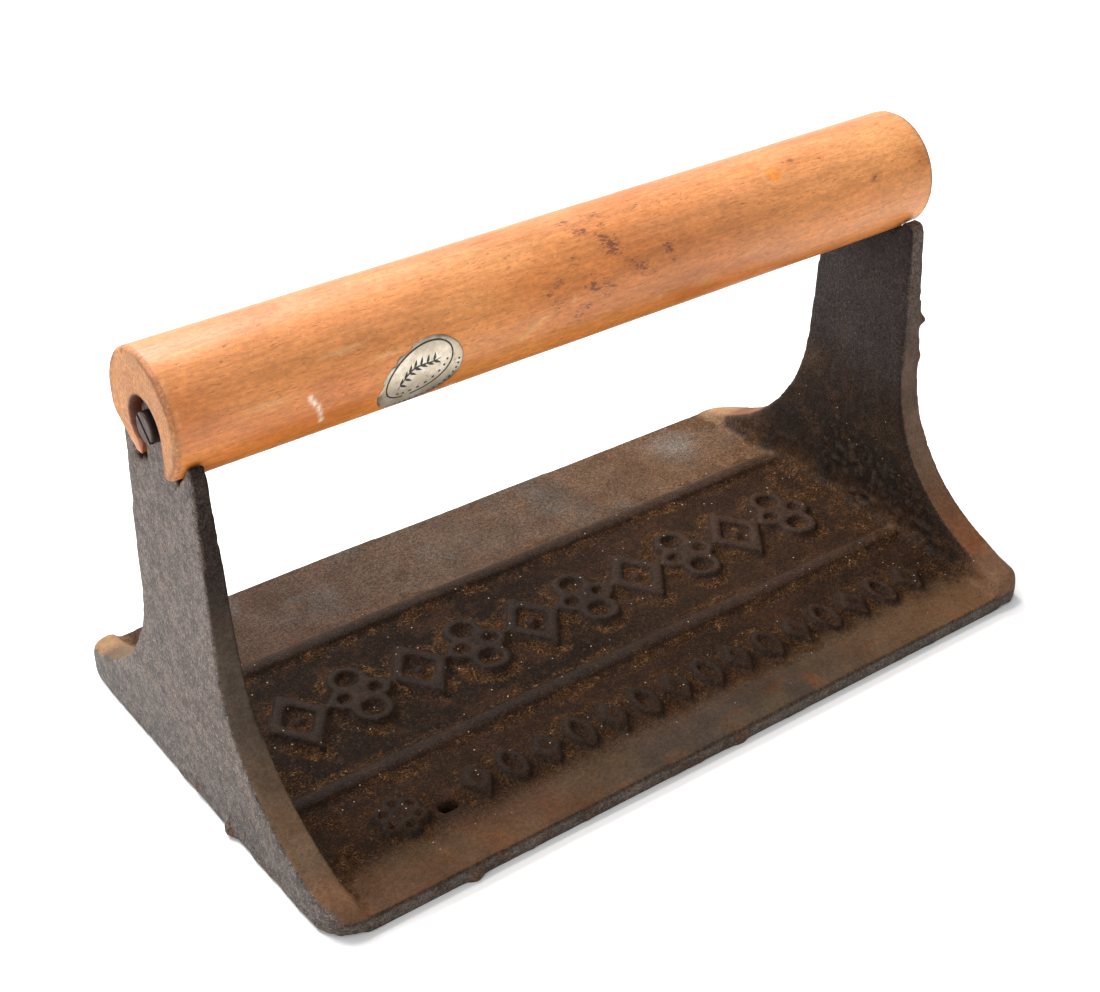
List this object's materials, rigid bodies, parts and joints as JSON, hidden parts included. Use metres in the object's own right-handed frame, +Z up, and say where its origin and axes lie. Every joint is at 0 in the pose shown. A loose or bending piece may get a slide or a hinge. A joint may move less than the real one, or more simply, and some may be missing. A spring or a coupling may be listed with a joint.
{
  "type": "patty press",
  "caption": "Cast-iron hand press for patties and bacon: a flat ribbed plate with flared end uprights that carry a round wooden dowel handle held by end screws.",
  "frame": {"origin": "centre of the flat pressing face, on the surface that the press stands on", "axes": "+X along the handle, away from the end nearest the label; +Y across the plate, towards the wide plain margin; +Z up"},
  "size_m": [0.227, 0.1316, 0.1241],
  "materials": {
    "rusted_cast_iron": "sand-cast, dark brown rust and dust on the plate, bare grey on the outer faces",
    "varnished_beech": "worn satin varnish with dark smudges, bare end grain",
    "old_steel": "tarnished, dull",
    "foil": "creased silver foil with a thin dark oval line"
  },
  "bodies": {
    "root": {"press_casting": "rusted_cast_iron", "handle": "varnished_beech", "left_screw": "old_steel", "right_screw": "old_steel", "label": "foil"}
  },
  "joints": []
}
